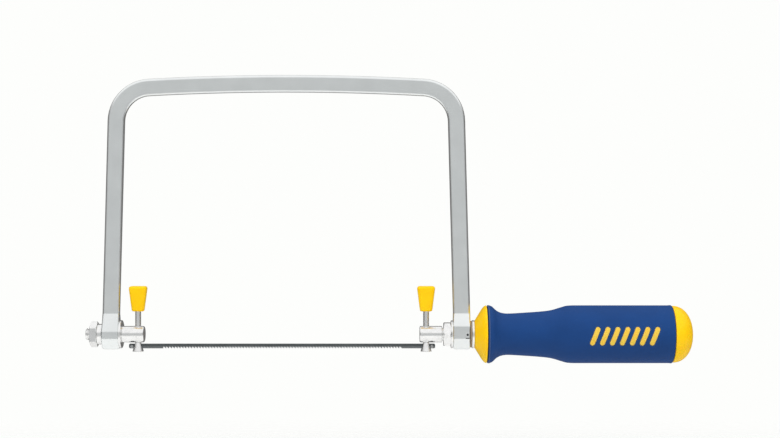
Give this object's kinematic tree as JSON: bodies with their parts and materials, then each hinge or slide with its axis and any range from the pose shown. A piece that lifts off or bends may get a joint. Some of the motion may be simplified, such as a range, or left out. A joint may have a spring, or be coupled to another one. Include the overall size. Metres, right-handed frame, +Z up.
{
  "type": "coping saw",
  "caption": "Bow-framed coping saw with a thin pin-end blade held between two swivelling lever spigots, tensioned by turning its contoured overmoulded handle.",
  "frame": {"origin": "on the handle's axis, in the middle of the cylindrical part of the grip", "axes": "+X from the toe to the handle's end, +Z up from the blade to the top of the bow, Y across the bow's thickness"},
  "size_m": [0.334, 0.032, 0.1588],
  "materials": {
    "bow_steel": "satin zinc plate",
    "bright_steel": "bright plate",
    "cap_plastic": "moulded, semi-gloss",
    "core_plastic": "moulded, semi-gloss",
    "grip_rubber": "matt overmould",
    "fibre": "matt",
    "blade_steel": "dark hardened",
    "insert_steel": "turned"
  },
  "bodies": {
    "frame": {"frame": "bow_steel", "heel_friction_washer": "fibre", "heel_outer_washer": "bright_steel"},
    "toe_lever": {"toe_spigot": "bright_steel", "toe_lever_pin": "bright_steel", "toe_lever_cap": "cap_plastic", "toe_inner_washer": "bright_steel", "toe_spacer": "bright_steel", "toe_nut": "bright_steel"},
    "handle": {"handle_core": "core_plastic", "handle_grip": "grip_rubber", "handle_insert": "insert_steel"},
    "heel_slider": {"heel_inner_washer": "bright_steel"},
    "heel_lever": {"heel_spigot": "bright_steel", "heel_lever_pin": "bright_steel", "heel_lever_cap": "cap_plastic", "heel_nut": "bright_steel"},
    "blade": {"blade": "blade_steel", "toe_blade_pin": "blade_steel", "heel_blade_pin": "blade_steel"}
  },
  "joints": [
    {"name": "toe_swivel", "type": "hinge", "parent": "frame", "child": "toe_lever", "pos_m": [-0.2809, 0, 0], "axis": [1, 0, 0], "continuous": true},
    {"name": "handle_turn", "type": "hinge", "parent": "frame", "child": "handle", "pos_m": [0, 0, 0], "axis": [1, 0, 0], "range_deg": [0, 1440]},
    {"name": "tension_slide", "type": "slide", "parent": "frame", "child": "heel_slider", "axis": [-1, 0, 0], "range_m": [0, 0.0051]},
    {"name": "heel_swivel", "type": "hinge", "parent": "heel_slider", "child": "heel_lever", "pos_m": [-0.0879, 0, 0], "axis": [1, 0, 0], "continuous": true},
    {"name": "blade_release", "type": "slide", "parent": "toe_lever", "child": "blade", "axis": [-0.3251, 0, -0.9457], "range_m": [0, 0.0068]}
  ],
  "couplings": [
    {"joint": "tension_slide", "follows": "handle_turn", "m_per_rad": 0.00020213},
    {"joint": "heel_swivel", "follows": "toe_swivel", "ratio": 1},
    {"joint": "blade_release", "follows": "handle_turn", "m_per_rad": 0.00026927}
  ]
}
